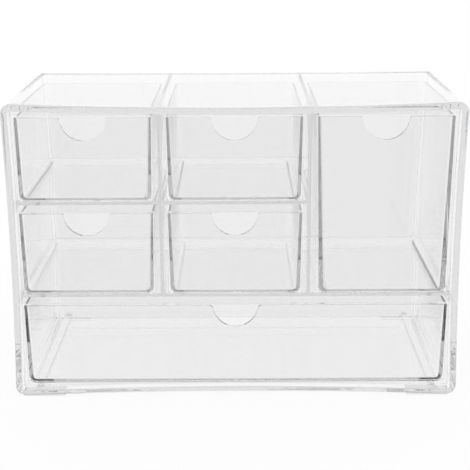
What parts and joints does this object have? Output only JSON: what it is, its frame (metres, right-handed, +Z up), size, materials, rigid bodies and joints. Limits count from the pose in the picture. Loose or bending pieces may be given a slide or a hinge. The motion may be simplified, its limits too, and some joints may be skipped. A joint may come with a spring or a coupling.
{
  "type": "makeup organizer",
  "caption": "Clear desktop organizer: a moulded case on small feet, with drawers that pull out of a front frame by half-moon finger notches.",
  "frame": {"origin": "on the surface that the feet stand on, under the middle of the case", "axes": "+X to the right along the width, +Y from the drawer fronts to the back, +Z up"},
  "size_m": [0.27, 0.138, 0.181],
  "materials": {
    "clear_case_plastic": "water-clear moulded plastic, polished",
    "clear_drawer_plastic": "water-clear moulded plastic, polished",
    "clear_foot_rubber": "clear soft plastic, slightly milky"
  },
  "bodies": {
    "case": {"case_shell": "clear_case_plastic", "front_frame": "clear_case_plastic", "left_divider": "clear_case_plastic", "right_divider": "clear_case_plastic", "upper_left_shelf": "clear_case_plastic", "upper_middle_shelf": "clear_case_plastic", "lower_shelf": "clear_case_plastic", "front_left_foot": "clear_foot_rubber", "front_right_foot": "clear_foot_rubber", "rear_left_foot": "clear_foot_rubber", "rear_right_foot": "clear_foot_rubber"},
    "upper_left": {"upper_left_drawer": "clear_drawer_plastic"},
    "upper_middle": {"upper_middle_drawer": "clear_drawer_plastic"},
    "middle_left": {"middle_left_drawer": "clear_drawer_plastic"},
    "middle_middle": {"middle_middle_drawer": "clear_drawer_plastic"},
    "tall": {"tall_drawer": "clear_drawer_plastic"},
    "wide": {"wide_drawer": "clear_drawer_plastic"}
  },
  "joints": [
    {"name": "upper_left_slide", "type": "slide", "parent": "case", "child": "upper_left", "axis": [0, -1, 0], "range_m": [0, 0.09]},
    {"name": "upper_middle_slide", "type": "slide", "parent": "case", "child": "upper_middle", "axis": [0, -1, 0], "range_m": [0, 0.09]},
    {"name": "middle_left_slide", "type": "slide", "parent": "case", "child": "middle_left", "axis": [0, -1, 0], "range_m": [0, 0.09]},
    {"name": "middle_middle_slide", "type": "slide", "parent": "case", "child": "middle_middle", "axis": [0, -1, 0], "range_m": [0, 0.09]},
    {"name": "tall_slide", "type": "slide", "parent": "case", "child": "tall", "axis": [0, -1, 0], "range_m": [0, 0.09]},
    {"name": "wide_slide", "type": "slide", "parent": "case", "child": "wide", "axis": [0, -1, 0], "range_m": [0, 0.09]}
  ]
}
